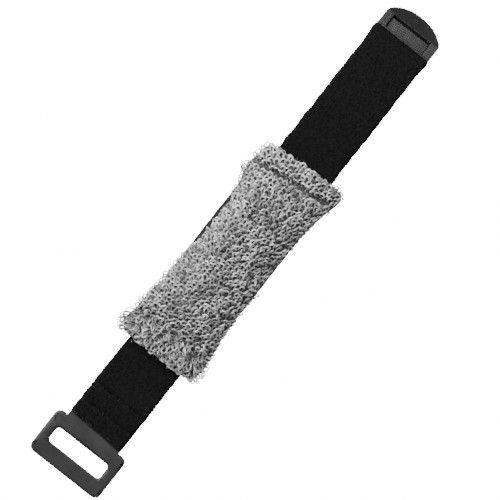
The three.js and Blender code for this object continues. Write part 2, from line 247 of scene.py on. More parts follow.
# %% Fibres and twist of a yarn
yarn_look, ins, outs = new_group(
    "yarn_look", {"Turns": 3.0, "Fibre Scale": 9000.0}, ("Shade", "Fibres", "Height", "Root")
)
shade = add_node(yarn_look, "Attribute", attribute_name="shade").outputs["Fac"]
around = add_node(yarn_look, "Attribute", attribute_name="yarn").outputs["Vector"]
parts = add_node(yarn_look, "SeparateXYZ", {0: around}).outputs
turned = maths(yarn_look, "MULTIPLY", parts[2], ins["Turns"])
turned = maths(yarn_look, "MULTIPLY", turned, 2 * math.pi)
plies = maths(
    yarn_look,
    "ADD",
    maths(yarn_look, "MULTIPLY", parts[0], maths(yarn_look, "SINE", turned)),
    maths(yarn_look, "MULTIPLY", parts[1], maths(yarn_look, "COSINE", turned)),
)
place = add_node(yarn_look, "TexCoord").outputs["Object"]
fibres = add_node(
    yarn_look, "TexNoise", {"Vector": place, "Scale": ins["Fibre Scale"], "Detail": 3, "Roughness": 0.7}
).outputs[0]
# painted shade: a mask that darkens each yarn towards both its ends, where it goes into the cloth
middle = maths(yarn_look, "ABSOLUTE", maths(yarn_look, "SUBTRACT", parts[2], 0.5))
put_out(
    yarn_look, outs, Shade=shade, Fibres=fibres, Root=spread_over(yarn_look, middle, 0.2, 0.5),
    Height=maths(yarn_look, "ADD", maths(yarn_look, "ABSOLUTE", plies), fibres),
)

# %% Weave of a plain cloth
plain_weave, ins, outs = new_group(
    "plain_weave", {"Pitch": 0.0005, "Angle": 0.0}, ("Height", "Patches")
)
place = add_node(plain_weave, "TexCoord").outputs["Object"]
turned = add_node(
    plain_weave, "VectorRotate", {"Vector": place, "Angle": ins["Angle"]}, rotation_type="Z_AXIS"
).outputs[0]
parts = add_node(plain_weave, "SeparateXYZ", {0: turned}).outputs
waves = []
for part in parts[:2]:
    counted = maths(plain_weave, "DIVIDE", part, ins["Pitch"])
    waves.append(maths(plain_weave, "SINE", maths(plain_weave, "MULTIPLY", counted, math.pi)))
crossed = maths(plain_weave, "MULTIPLY", *waves)
rounded = maths(plain_weave, "ADD", *[maths(plain_weave, "ABSOLUTE", wave) for wave in waves])
broad = add_node(plain_weave, "TexNoise", {"Vector": place, "Scale": 400.0, "Detail": 4})
height = maths(plain_weave, "MULTIPLY_ADD", crossed, 0.5, rounded)
patches = spread_over(plain_weave, broad.outputs[0], 0.3, 0.7)
put_out(plain_weave, outs, Height=height, Patches=patches)
print("node groups:", [group.name for group in bpy.data.node_groups])

# %% [markdown]
# Moulded nylon is satin and a little uneven. The buckle is a dark neutral grey whose edges are
# lighter, partly rubbed and partly a painted highlight. The hook patch is much the same plastic, a
# little paler and more matt.

# %% Plastics
def grey(value):
    return (value, value, value * 1.01, 1)


def moulded_plastic(name, dark, light, lightened, roughness, wear_and_highlight, bump, gloss=0.3):
    material, tree, shader = new_material(name)
    grain = place_group(tree, plastic_grain)
    edges = place_group(tree, edge_wear_and_highlight, amount=wear_and_highlight)
    body = mixed(tree, grain["Patches"], dark, light)
    # the edges are painted lighter: partly rubbed, partly a painted highlight
    tree.links.new(mixed(tree, edges["Mask"], body, lightened), shader.inputs["Base Color"])
    rough = spread_over(tree, grain["Patches"], 0, 1, roughness - 0.06, roughness + 0.06)
    tree.links.new(rough, shader.inputs["Roughness"])
    shader.inputs["Specular IOR Level"].default_value = gloss
    raise_surface(tree, shader, grain["Height"], bump, 0.5)
    return material


buckle_plastic = moulded_plastic(
    "buckle_plastic", grey(0.0145), grey(0.0205), grey(0.036),
    roughness=0.52, wear_and_highlight=0.12, bump=0.012, gloss=0.16,
)
hook_plastic = moulded_plastic(
    "hook_plastic", grey(0.02), grey(0.034), grey(0.05), roughness=0.55, wear_and_highlight=0.4, bump=0.02
)

# %% [markdown]
# The yarns share one recipe. Every loop carries a shade of its own, so heather grey comes from light
# and dark strands side by side and not from a pattern laid over them. On the terry the loops' shades
# also carry painted shade.

# %% Yarns
def yarn(name, dark, middle, light, turns=3.0, bump=0.05, sheen=0.0, root_painted_shade=0.45, gloss=0.15):
    material, tree, shader = new_material(name)
    look = place_group(tree, yarn_look, turns=turns)
    strands = mixed(tree, spread_over(tree, look["Shade"], 0.0, 0.5), dark, middle)
    strands = mixed(tree, spread_over(tree, look["Shade"], 0.5, 1.0), strands, light)
    speckled = mixed(tree, spread_over(tree, look["Fibres"], 0.42, 0.62, 0.0, 0.45), strands, dark)
    # painted shade: the yarn is darkened towards its ends, where it goes into the cloth
    shaded = mixed(tree, maths(tree, "MULTIPLY", look["Root"], root_painted_shade), speckled, dark)
    tree.links.new(shaded, shader.inputs["Base Color"])
    shader.inputs["Roughness"].default_value = 0.95
    shader.inputs["Specular IOR Level"].default_value = gloss
    shader.inputs["Sheen Weight"].default_value = sheen
    raise_surface(tree, shader, look["Height"], bump, 0.7)
    return material


terry_yarn = yarn("terry_yarn", grey(0.09), grey(0.34), grey(0.74), sheen=0.35, root_painted_shade=0.5)
hem_yarn = yarn("hem_yarn", grey(0.07), grey(0.26), grey(0.95), sheen=0.3, root_painted_shade=0.6)
pile_yarn = yarn("pile_yarn", grey(0.002), grey(0.005), grey(0.013), turns=1.0, bump=0.02, gloss=0.05)
black_thread = yarn("black_thread", grey(0.001), grey(0.003), grey(0.008), turns=4.0, gloss=0.03)
grey_thread = yarn("grey_thread", grey(0.015), grey(0.04), grey(0.1), turns=4.0)

# %% Cloths
def woven_cloth(name, dark, light, pitch, angle, bump, roughness=0.9, gloss=0.1):
    material, tree, shader = new_material(name)
    weave = place_group(tree, plain_weave, pitch=pitch * MM, angle=math.radians(angle))
    crossings = mixed(tree, spread_over(tree, weave["Height"], 0.4, 1.8), dark, light)
    dusted = mixed(tree, maths(tree, "MULTIPLY", weave["Patches"], 0.4), crossings, dark)
    tree.links.new(dusted, shader.inputs["Base Color"])
    shader.inputs["Roughness"].default_value = roughness
    shader.inputs["Specular IOR Level"].default_value = gloss
    raise_surface(tree, shader, weave["Height"], bump)
    return material


pile_ground = woven_cloth("pile_ground", grey(0.0015), grey(0.0045), 0.5, 0, 0.06)
lining_cloth = woven_cloth("lining_cloth", grey(0.01), grey(0.035), 0.55, 45, 0.08)
backing_cloth = woven_cloth("backing_cloth", grey(0.006), grey(0.02), 0.6, 45, 0.08)
# the terry's ground cloth is set much darker than its yarn, as painted shade between the loops
terry_ground_in_painted_shade = woven_cloth("terry_ground_in_painted_shade", grey(0.03), grey(0.075), 0.9, 0, 0.1)
patch_weave = woven_cloth("patch_weave", grey(0.005), grey(0.038), 0.62, 30, 0.25, 0.65, gloss=0.3)
print("materials:", len(bpy.data.materials))

# %% [markdown]
# ## Making a piece
# A piece is shaped as a bmesh in millimetres. When it is done it is scaled to metres, given its
# material, and then either rides on one body or has its placement baked into its mesh. A cloth piece
# runs from the middle of one stiff segment to the middle of the next, so that both its ends meet
# the next piece.

# %% From a bmesh to a piece
def new_piece(name, mesh, materials):
    for material in materials:
        mesh.materials.append(material)
    piece = bpy.data.objects.new(name, mesh)
    bpy.context.scene.collection.objects.link(piece)
    return piece


def piece_from(bm, name, materials, sharp_deg=35.0):
    """A finished piece from a bmesh in millimetres."""
    bmesh.ops.recalc_face_normals(bm, faces=bm.faces)
    bmesh.ops.scale(bm, vec=(MM, MM, MM), verts=bm.verts)
    mesh = bpy.data.meshes.new(name)
    bm.to_mesh(mesh)
    bm.free()
    mesh.shade_smooth()
    mesh.set_sharp_from_angle(angle=math.radians(sharp_deg))
    return new_piece(name, mesh, materials)


def bend(piece, body_a, body_b, x_a, x_b):
    """The piece's placement is baked into its mesh; the bodies and the places along X are not used."""
    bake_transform(piece)


def block(bm, x0, x1, y0, y1, z0, z1):
    """A box between two corners; returns its vertices."""
    middle = Vector(((x0 + x1) / 2, (y0 + y1) / 2, (z0 + z1) / 2))
    size = Matrix.Diagonal((x1 - x0, y1 - y0, z1 - z0, 1))
    return bmesh.ops.create_cube(bm, size=1, matrix=Matrix.Translation(middle) @ size)["verts"]


def edges_along(edges, axis):
    """The edges that run along an axis, 0 for X, 1 for Y and 2 for Z."""
    return [e for e in edges if abs((e.verts[0].co - e.verts[1].co).normalized()[axis]) > 0.99]


def cut_across(bm, geometry, x, way=1, clear_outer=False):
    """Cut square across at x. What lies beyond the cut, the way it faces, can be cleared."""
    return bmesh.ops.bisect_plane(
        bm, geom=geometry, plane_co=(x, 0, 0), plane_no=(way, 0, 0), clear_outer=clear_outer
    )


def round_over(bm, geometry, offset, segments, affect="EDGES", clamp=False):
    """Round edges, or the corners of a flat shape."""
    bmesh.ops.bevel(
        bm, geom=geometry, offset=offset, offset_type="OFFSET", affect=affect, segments=segments,
        profile=0.5, material=-1, clamp_overlap=clamp,
    )


# %% Threads and loops from paths
def threads(name, paths, radius, material, shades, sides=6, thickness=None):
    """One mesh of many short yarns, each a tube round its own path in millimetres. thickness is a
    multiple of the radius for each yarn."""
    curve = bpy.data.curves.new(name, "CURVE")
    curve.dimensions = "3D"
    curve.bevel_depth = radius * MM
    curve.bevel_resolution = sides // 2 - 2
    for number, path in enumerate(paths):
        spline = curve.splines.new("POLY")
        spline.points.add(len(path) - 1)
        points = np.concatenate([np.asarray(path) * MM, np.ones((len(path), 1))], axis=1)
        spline.points.foreach_set("co", points.ravel())
        if thickness is not None:
            spline.points.foreach_set("radius", np.full(len(path), thickness[number]))
    holder = bpy.data.objects.new(name, curve)
    mesh = bpy.data.meshes.new_from_object(holder)
    bpy.data.objects.remove(holder)
    bpy.data.curves.remove(curve)
    bm = bmesh.new()
    bm.from_mesh(mesh)
    bmesh.ops.holes_fill(bm, edges=[e for e in bm.edges if e.is_boundary], sides=0)
    bmesh.ops.recalc_face_normals(bm, faces=bm.faces)
    bm.to_mesh(mesh)
    bm.free()
    counts = [len(path) * sides for path in paths]
    assert len(mesh.vertices) == sum(counts), (len(mesh.vertices), sum(counts))
    turn = np.arange(sides) * 2 * math.pi / sides
    rings = []
    for path in paths:
        around = np.tile(np.stack([np.cos(turn), np.sin(turn)], axis=1), (len(path), 1))
        along = np.repeat(np.linspace(0, 1, len(path)), sides)
        rings.append(np.column_stack([around, along]))
    on_yarn = mesh.attributes.new("yarn", "FLOAT_VECTOR", "POINT")
    on_yarn.data.foreach_set("vector", np.concatenate(rings).ravel())
    on_loop = mesh.attributes.new("shade", "FLOAT", "POINT")
    on_loop.data.foreach_set("value", np.repeat(shades, counts))
    mesh.shade_smooth()
    mesh.name = name
    return new_piece(name, mesh, [material])


CROWN_OVER_FEET = 1.87  # the height of a loop's crown over its feet, in radii


def loop_paths(roots, normals, ways, radius, height, lean, open_deg=150.0, points=8, twist=0.0):
    """Loops of yarn that stand on a surface. Each is most of a circle on two close feet. ways is
    the direction from foot to foot, lean is how far the loop lies over, in radians, and twist is
    how far its legs cross."""
    across = np.cross(normals, ways)
    angle = np.radians(np.linspace(-open_deg, open_deg, points))
    upward = normals * np.cos(lean)[:, None] + across * np.sin(lean)[:, None]
    wide = radius[:, None] * np.sin(angle)
    high = height[:, None] * (np.cos(angle) - math.cos(math.radians(open_deg))) / CROWN_OVER_FEET
    aside = np.broadcast_to(twist, height.shape)[:, None] * high * np.sin(angle)
    side = np.cross(ways, upward)
    return (
        roots[:, None]
        + wide[..., None] * ways[:, None]
        + high[..., None] * upward[:, None]
        + aside[..., None] * side[:, None]
    )


def unit(vectors):
    return vectors / np.linalg.norm(vectors, axis=-1, keepdims=True)


# %% [markdown]
# ## Buckle
# The buckle is one moulding: a rounded frame round a slot, arched so that it climbs a little
# towards the strap, with softly rounded upper edges, and a flat neck that goes between the plies
# of the strap. Two rounded rectangles bridged into a ring give even corners inside and out,
# which cutting a hole in a block would not.

# %% A ring between two rounded rectangles
SLOT = (-103.6, -96.3, 12.5)  # from, to, and half its length
SHOULDER = -90.8
OUTER_CORNER, SLOT_CORNER, CORNER_STEPS = 2.7, 1.5, 6
PLATE, ARCH = 2.4, 0.5
FRONT_SLANT = 0.7  # how far the strap's cut edge, and the step in the neck, lean over at the side
CROWN = 0.4  # how much lower the plate's edges are than the middle of its bars
DRAFT = 0.35  # how much tighter the slot is at mid height than at its rounded lips
BAR_CUTS = 1.6  # how far apart the plate is cut across, so that it can arch
SMALLEST_EDGE = 0.16  # shorter edges, where a cut passes close to a corner's point, are merged
EDGE_SLOPE = 1.3  # how wide the slope is from an edge up to the crown


def rounded_rectangle(bm, x0, x1, half, radius):
    """The edge loop of a rectangle with its corners rounded."""
    place = Matrix.Translation(((x0 + x1) / 2, 0, 0)) @ Matrix.Diagonal(((x1 - x0) / 2, half, 1, 1))
    corners = bmesh.ops.create_grid(bm, x_segments=1, y_segments=1, size=1, matrix=place)["verts"]
    round_over(bm, corners, radius, CORNER_STEPS, affect="VERTICES")


def sharp_edges(bm, angle_deg, keep):
    return [
        e for e in bm.edges
        if len(e.link_faces) == 2 and e.calc_face_angle() > math.radians(angle_deg) and keep(e)
    ]


bm = bmesh.new()
rounded_rectangle(bm, BUCKLE_LOW.x, SHOULDER, BUCKLE_HIGH.y, OUTER_CORNER)
rounded_rectangle(bm, SLOT[0] + DRAFT, SLOT[1] - DRAFT, SLOT[2] - DRAFT, SLOT_CORNER)
bmesh.ops.delete(bm, geom=bm.faces[:], context="FACES_ONLY")
bmesh.ops.bridge_loops(bm, edges=bm.edges[:])
for x in np.arange(BUCKLE_LOW.x + 1.5, SHOULDER - 0.5, BAR_CUTS):
    cut_across(bm, bm.verts[:] + bm.edges[:] + bm.faces[:], x)
bmesh.ops.remove_doubles(bm, verts=bm.verts, dist=SMALLEST_EDGE)
bmesh.ops.recalc_face_normals(bm, faces=bm.faces)
bmesh.ops.solidify(bm, geom=bm.faces[:], thickness=PLATE)
lowest = min(v.co.z for v in bm.verts)
bmesh.ops.translate(bm, vec=(0, 0, -lowest), verts=bm.verts)
bmesh.ops.recalc_face_normals(bm, faces=bm.faces)

# %% Rounded edges, the arch and the neck
def is_at(z):
    return lambda e: all(abs(v.co.z - z) < 0.01 for v in e.verts)


top_faces = [f for f in bm.faces if all(v.co.z > PLATE - 0.01 for v in f.verts)]
bmesh.ops.translate(bm, vec=(0, 0, -CROWN), verts=list({v for f in top_faces for v in f.verts}))
bmesh.ops.inset_region(
    bm, faces=top_faces, thickness=EDGE_SLOPE, depth=CROWN, use_even_offset=True, use_boundary=True
)
for height, offset, steps in ((PLATE - CROWN, 0.75, 4), (0.0, 0.4, 2)):
    round_over(bm, sharp_edges(bm, 55, is_at(height)), offset, steps, clamp=True)
OUTER_BAR, OUTER_DROP = 0.3, 1.5  # the share of the plate that slopes down outwards, and how much
reach = SHOULDER - BUCKLE_LOW.x
for v in bm.verts:
    share = (v.co.x - BUCKLE_LOW.x) / reach
    v.co.z += ARCH * (1 - (1 - share) ** 2) - OUTER_DROP * max(0.0, OUTER_BAR - share) * v.co.z / PLATE

NECK_HALF, TONGUE_HALF, TONGUE_END = 12.2, 12.0, BUCKLE_HIGH.x
TONGUE_BOTTOM, TONGUE_TOP = 0.9, 1.7
NECK_TOPS = (  # place along X and height, from inside the plate to the tongue's end
    (SHOULDER - 2.4, 2.87), (SHOULDER - 1.2, 2.88), (SHOULDER + 0.1, 2.88), (PLIES_START - 0.8, 2.88),
    (PLIES_START - 0.2, 1.93), (PLIES_START + 1.4, TONGUE_TOP), (TONGUE_END, TONGUE_TOP),
)
neck = block(bm, NECK_TOPS[0][0], TONGUE_END, -TONGUE_HALF, TONGUE_HALF, TONGUE_BOTTOM, TONGUE_TOP)
neck_edges, neck_faces = {e for v in neck for e in v.link_edges}, {f for v in neck for f in v.link_faces}
neck_geometry = [*neck, *neck_edges, *neck_faces]
for x, _ in NECK_TOPS[1:-1]:
    neck_geometry = cut_across(bm, neck_geometry, x)["geom"]
for v in [g for g in neck_geometry if isinstance(g, bmesh.types.BMVert)]:
    if v.co.z > (TONGUE_BOTTOM + TONGUE_TOP) / 2:
        v.co.z = np.interp(v.co.x, *zip(*NECK_TOPS))
    if v.co.x < PLIES_START + 0.5:
        v.co.y *= NECK_HALF / TONGUE_HALF
    if PLIES_START - 1 < v.co.x < PLIES_START + 0.5:
        v.co.x += FRONT_SLANT * v.co.y / NECK_HALF
buckle = piece_from(bm, "buckle", [buckle_plastic])
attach(buckle, "buckle_end")
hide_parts("slot_buckle")
print("buckle:", len(buckle.data.polygons), "faces")

# %% [markdown]
# ## Strap
# The strap is knitted pile: a flat ground with a nap of tiny brushed loops on top and a smooth
# lining below. Its edges are cut and fused, so they wander a little. Each length is a box that is
# cut finely and then pushed about by a slow noise, read from the place on the strap, so that two
# neighbouring lengths agree where they meet.

# %% The strap's edge and its nap
EDGE_FROM = 0.93  # the share of the half width where the cloth's edge starts to round off
CREASE_X = 44  # a crease left by folding the band away


def wander(x, seed, size, scale):
    """A smooth irregular offset along the strap."""
    return size * noise.noise(Vector((x / scale, seed, 0.5)))


def half_at(x, side, half):
    """The strap's half width at a place along it, on one side."""
    flare = 0.5 * math.exp(-(((x - PATCH_LEFT + 2) / 2.4) ** 2))  # the weld spreads the last of the pile
    return half + flare + wander(x, 11 * side, 0.28, 2.6) + wander(x, 29 * side, 0.12, 0.7)


def nap(x, y):
    """How far the pile stands above or below its usual height."""
    crease = 0.3 * math.exp(-(((x - CREASE_X - 0.12 * y) / 1.3) ** 2))
    broad = noise.noise(Vector((x / 1.7, y / 1.7, 3)))
    return 0.1 * broad + 0.05 * noise.noise(Vector((x / 0.8, y / 0.8, 7))) - crease


def cloth_length(bm, x0, x1, half, bottom, top, edge=half_at, end=None, step=0.9, round_off=0.5):
    """A length of flat cloth between two heights, each a number or a function of x, added to bm."""
    low = bottom if callable(bottom) else lambda x: bottom
    high = top if callable(top) else lambda x: top
    part = bmesh.new()
    block(part, x0, x1, -half, half, 0, 1)
    for axis, length in ((0, x1 - x0), (1, 2 * half)):
        edges = edges_along(part.edges, axis)
        cuts = max(1, round(length / step))
        bmesh.ops.subdivide_edges(part, edges=edges, cuts=cuts, use_grid_fill=True)
    for v in part.verts:
        x, across = v.co.x, v.co.y / half
        side = 1 if across > 0 else -1
        thick = high(x) - low(x)
        if end is not None:
            x = x0 + (x - x0) * (end(across * half) - x0) / (x1 - x0)
        y = across * half
        if edge is not None:
            y = across * edge(x, side, half)
        fall = min(round_off, 0.45 * thick) * max(0.0, (abs(across) - EDGE_FROM) / (1 - EDGE_FROM)) ** 2
        if v.co.z < 0.5:
            z = low(v.co.x) + fall
        else:
            z = high(v.co.x) - fall + (nap(x, y) if edge is not None else 0)
        v.co = Vector((x, y, z))
    mesh = bpy.data.meshes.new("length")
    part.to_mesh(mesh)
    part.free()
    count = len(bm.verts)
    bm.from_mesh(mesh)
    bpy.data.meshes.remove(mesh)
    return bm.verts[count:]


def strap_piece(bm, name):
    """A finished length of strap: pile on its top and edges, lining on its underside."""
    bmesh.ops.recalc_face_normals(bm, faces=bm.faces)
    for face in bm.faces:
        face.material_index = 1 if face.normal.z < -0.5 else 0
    return piece_from(bm, name, [pile_ground, lining_cloth])


# %% Loops of the nap
PILE_PITCH, PILE_RADIUS = 0.85, 0.1
PALER_FROM = 30  # from here to the tip the pile is paler


def nap_loops(name, x0, x1, half, top, bare=()):
    """Small brushed loops over a length of the strap, with none at the bare places along it."""
    rows, columns = np.arange(x0, x1, PILE_PITCH), np.arange(-half, half + 0.2, PILE_PITCH)
    x, y = (a.ravel() for a in np.meshgrid(rows + PILE_PITCH / 2, columns, indexing="ij"))
    x, y = x + chance.uniform(-0.3, 0.3, x.size), y + chance.uniform(-0.3, 0.3, x.size)
    y = np.array([
        np.clip(b, -half_at(a, -1, half) + 0.05, half_at(a, 1, half) - 0.05) for a, b in zip(x, y)
    ])
    for row in bare:
        wave = row + 0.25 * np.sin(y * 1.9 + row) + 0.2 * np.sin(y * 0.7)
        clear = np.abs(x - wave) > 0.55 + 0.3 * np.sin(y * 2.3)
        x, y = x[clear], y[clear]
    sides = np.abs(y) / half
    z = np.array([(top(a) if callable(top) else top) + nap(a, b) for a, b in zip(x, y)])
    z -= 0.5 * np.maximum(0, (sides - EDGE_FROM) / (1 - EDGE_FROM)) ** 2 + 0.08
    outward = np.clip((sides - 0.9) / 0.1, 0, 1) * np.sign(y)
    normals = unit(np.stack([0 * x, outward, 1.0 - 0.4 * np.abs(outward)], axis=1))
    heading = chance.uniform(0, 2 * math.pi, x.size)
    flat = np.stack([np.cos(heading), np.sin(heading), 0 * x], axis=1)
    ways = unit(np.cross(np.cross(normals, flat), normals))
    paths = loop_paths(
        np.stack([x, y, z], axis=1), normals, ways, chance.uniform(0.2, 0.34, x.size),
        chance.uniform(0.3, 0.5, x.size), chance.uniform(-1.2, 1.2, x.size), points=5,
    )
    # the pile's loops are set paler towards the tip
    lightened = np.clip((x - PALER_FROM) / (PATCH_LEFT - PALER_FROM), 0, 1) ** 2
    shades = np.clip(chance.uniform(0.1, 0.8, x.size) + 0.5 * lightened, 0, 1)
    return threads(name, paths, PILE_RADIUS, pile_yarn, shades, sides=4)


# %% [markdown]
# The buckle's tongue lies between two plies of the strap's end, and all three are sewn through
# twice. The thread pulls a soft dent across the cloth at each row. Past the tongue the two plies
# run together into the single strap, so one height function serves them all.

# %% Sewn end
TONGUE_PAST = BUCKLE_HIGH.x + 0.3  # where the plies run together
STITCH_ROWS = (box("buckle_stitches_1")[0].x + 0.2, box("buckle_stitches_2")[0].x + 0.2)
TOP_PLY_BOTTOM, TOP_PLY_TOP = box("sewn_end_top_ply")[0].z, box("sewn_end_top_ply")[1].z
UNDER_PLY_TOP = box("sewn_end_under_ply")[1].z
LEFT_MIDDLE = (hinges["buckle_tilt"] + hinges["strap_bend_left"]) / 2
DENT_DEPTH, DENT_WIDTH = 0.62, 0.75  # how the thread pulls the cloth down


def smooth(value, low, high):
    share = min(1.0, max(0.0, (value - low) / (high - low)))
    return share * share * (3 - 2 * share)


def sewn_top(x):
    """The height of the cloth's top from its sewn edge to the single strap."""
    dents = sum(DENT_DEPTH * math.exp(-(((x - row) / DENT_WIDTH) ** 2)) for row in STITCH_ROWS)
    front = 0.1 * (1 - smooth(x, PLIES_START, PLIES_START + 1.2))
    joined = smooth(x, TONGUE_PAST - 0.6, LEFT_MIDDLE - 2)
    return TOP_PLY_TOP - (TOP_PLY_TOP - STRAP_TOP) * joined - dents - front


def slanted_front(x, y):
    """The cut edge isn't quite square to the strap."""
    lean = FRONT_SLANT * y / STRAP_HALF * (1 - smooth(x, PLIES_START, PLIES_START + 4))
    ragged = 0.12 * noise.noise(Vector((y * 1.3, 5, 1))) * (1 - smooth(x, PLIES_START, PLIES_START + 1))
    return x + lean + ragged


bm = bmesh.new()
top_ply = cloth_length(bm, PLIES_START, TONGUE_PAST, STRAP_HALF, TOP_PLY_BOTTOM, sewn_top)
under_ply = cloth_length(bm, PLIES_START, TONGUE_PAST, STRAP_HALF, 0, UNDER_PLY_TOP, edge=None)
cloth_length(bm, TONGUE_PAST, LEFT_MIDDLE, STRAP_HALF, 0, sewn_top)
for v in top_ply + under_ply:
    v.co.x = slanted_front(v.co.x, v.co.y)
sewn_end = strap_piece(bm, "sewn_end_cloth")
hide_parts("sewn_end_top_ply", "sewn_end_under_ply")
sewn_nap = nap_loops(
    "sewn_end_nap", PLIES_START + 0.3, LEFT_MIDDLE, STRAP_HALF, sewn_top, bare=STITCH_ROWS
)
for piece in (sewn_end, sewn_nap):
    bend(piece, "buckle_end", "strap_left", TONGUE_PAST - 1.5, LEFT_MIDDLE)

# %% Stitches of the sewn end
STITCH_PITCH, STITCH_LENGTH, THREAD_RADIUS = 3.0, 2.3, 0.2
STITCH_RISE = (-0.35, 0.55, 1.0, 1.0, 0.55, -0.35)  # out of the cloth, along it and back in


def stitch_paths(length, at, rise=0.06):
    """A row of stitches: at(s) gives the place of the cloth at a distance along the row."""
    starts = np.arange(-length / 2 + 0.6, length / 2 - STITCH_LENGTH, STITCH_PITCH)
    steps = list(zip(np.linspace(0, 1, len(STITCH_RISE)), STITCH_RISE))
    return [[np.array(at(s + STITCH_LENGTH * t)) + (0, 0, rise * up) for t, up in steps] for s in starts]


def stitches(name, rows, radius, material):
    """Rows of stitches, each stitch with a shade of its own."""
    return threads(name, rows, radius, material, chance.uniform(0, 1, len(rows)))


def sewn_row(x):
    """A row across the sewn end, not quite straight."""
    return lambda s: (x + 0.06 * math.sin(3 * s), s, sewn_top(x) + 0.12)


rows = [path for x in STITCH_ROWS for path in stitch_paths(2 * STRAP_HALF - 1, sewn_row(x))]
LOOSE_END = [(-74.6, -11.8, 2.4), (-74.7, -12.4, 2.2), (-74.9, -12.9, 1.9), (-74.8, -13.2, 1.7)]
sewn_threads = stitches(
    "sewn_end_threads", rows + [LOOSE_END], THREAD_RADIUS, black_thread
)
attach(sewn_threads, "buckle_end")
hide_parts("buckle_stitches_1", "buckle_stitches_2")
print("sewn end:", len(rows), "stitches")

# %% [markdown]
# The plain lengths follow one another from the sewn end to the tip. Under the pad nobody sees the
# nap, so those lengths have none.

# %% Plain lengths of the strap
lines_across = [
    "buckle_tilt", "strap_bend_left", "pad_bend_left", "pad_bend_middle", "wrap", "pad_bend_right",
    "strap_bend_right", "strap_bend_middle", "tail_fold", "tail_return", "tail_curve",
]
pad_bodies = [f"pad_{i}" for i in range(1, 6)]
strap_bodies = ["strap_left", *pad_bodies, "strap_right_1", "strap_right_2", "fold_strip", "tail"]
middles = {
    body: (hinges[a] + hinges[b]) / 2 for body, a, b in zip(strap_bodies, lines_across, lines_across[1:])
}
strap_nodes = {
    "strap_left": "strap_panel_left", "strap_right_1": "strap_panel_right_1",
    "strap_right_2": "strap_panel_right_2", "fold_strip": "strap_panel_fold", "tail": "strap_panel_tail",
    **{body: f"strap_under_{body}" for body in pad_bodies},
}
for body_a, body_b in zip(strap_bodies, strap_bodies[1:]):
    x0, x1 = middles[body_a], middles[body_b]
    bm = bmesh.new()
    cloth_length(bm, x0, x1, STRAP_HALF, 0, STRAP_TOP, step=min(0.9, (x1 - x0) / 8))
    piece = strap_piece(bm, f"strap_{body_a}_to_{body_b}")
    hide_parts(strap_nodes[body_a], strap_nodes[body_b])
    bend(piece, body_a, body_b, x0, x1)
    if body_a == "strap_left":
        shown = (x0, min(x1, PAD_LEFT + 1))
    else:
        shown = (max(x0, PAD_RIGHT - 1.5), x1)
    if body_a == "strap_left" or x1 > PAD_RIGHT:
        loops = nap_loops(f"nap_{body_a}_to_{body_b}", *shown, STRAP_HALF, STRAP_TOP)
        bend(loops, body_a, body_b, x0, x1)

# %% [markdown]
# ## Pad
# The pad is a stuffed sleeve of terry on a black backing that is sewn across the strap. Two rows
# of stitches hold its ends down, so it swells between them and leaves a soft hem outside each.
# Its outline is like a bone, waisted in the middle. The right seam and hem are sewn a little
# askew. The cover's shape is set first, on a grid that an operator makes.

# %% Backing
pad_cuts = [PAD_LEFT, middles["pad_2"], middles["pad_3"], middles["pad_4"], PAD_RIGHT]
pad_bends = [
    ("pad_1", "pad_2", 2 * hinges["pad_bend_left"] - middles["pad_2"], middles["pad_2"]),
    ("pad_2", "pad_3", middles["pad_2"], middles["pad_3"]),
    ("pad_3", "pad_4", middles["pad_3"], middles["pad_4"]),
    ("pad_4", "pad_5", middles["pad_4"], 2 * hinges["pad_bend_right"] - middles["pad_4"]),
]
# number, from, to, how it bends; a length stands for the nodes of its number and the next
pad_lengths = list(zip((1, 2, 3, 4), pad_cuts, pad_cuts[1:], pad_bends))


def pad_nodes(number, *kinds):
    return [f"{kind}_{n}" for kind in kinds for n in (number, number + 1)]


BACKING_LOW, BACKING_HIGH = box("pad_backing_1")
BACKING_TRIM = 1.4  # the backing's right end is cut back, and cut aslant with the hem
for number, x0, x1, bends in pad_lengths:
    bm = bmesh.new()
    cloth_length(
        bm, x0, x1, BACKING_HIGH.y, BACKING_LOW.z, BACKING_HIGH.z, step=1.2, round_off=0.3,
        edge=lambda x, side, half: half + wander(x, 17 * side, 0.2, 3),
    )
    for v in bm.verts:
        if v.co.x > x0 and number == 4:
            v.co.x -= BACKING_TRIM * (1 + v.co.y / BACKING_HIGH.y) * (v.co.x - x0) / (x1 - x0)
    piece = piece_from(bm, f"backing_{number}", [backing_cloth])
    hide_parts(*pad_nodes(number, "pad_backing"))
    bend(piece, *bends)
print("backing:", len(pad_lengths), "lengths,", round(2 * BACKING_HIGH.y, 1), "mm wide")

# %% The pad's outline
SEAM_LEFT, SEAM_RIGHT, HEM_RIGHT = -42.6, 29.7, 37.4
OUTLINE = np.array([  # place along X, half width towards +Y, half width towards -Y, height
    (-52.6, 17.2, 16.4, 1.9), (-49.5, 18.2, 17.2, 2.4), (-46.0, 17.6, 17.9, 2.1),
    (SEAM_LEFT, 17.0, 17.3, 1.2), (-39.5, 17.1, 17.2, 3.0), (-35.0, 16.7, 16.4, 4.5),
    (-30.0, 16.0, 16.0, 4.7), (-24.0, 15.1, 15.6, 4.7), (-14.0, 14.6, 15.6, 4.7),
    (-6.0, 13.8, 15.6, 4.7), (4.0, 13.4, 15.6, 4.7), (12.0, 13.9, 15.5, 4.7),
    (18.0, 15.4, 16.0, 4.7), (23.0, 16.8, 16.8, 4.3), (26.8, 17.7, 17.6, 3.4),
    (SEAM_RIGHT, 17.5, 18.4, 0.7), (32.5, 17.0, 19.0, 2.5), (35.0, 16.6, 18.7, 2.6),
    (HEM_RIGHT, 15.8, 18.0, 2.0),
])
SEAM_LEAN, LEAN_AT = 2.45, 19  # how far the right seam leans over, at this distance from the middle
ROUND_END = 1.7  # the hems' outer edges are rounded over this length
ALONG, ACROSS = 96, 44  # how many steps the cover's grid has each way
pad_start, pad_end = PAD_LEFT + 0.7, HEM_RIGHT + 0.1
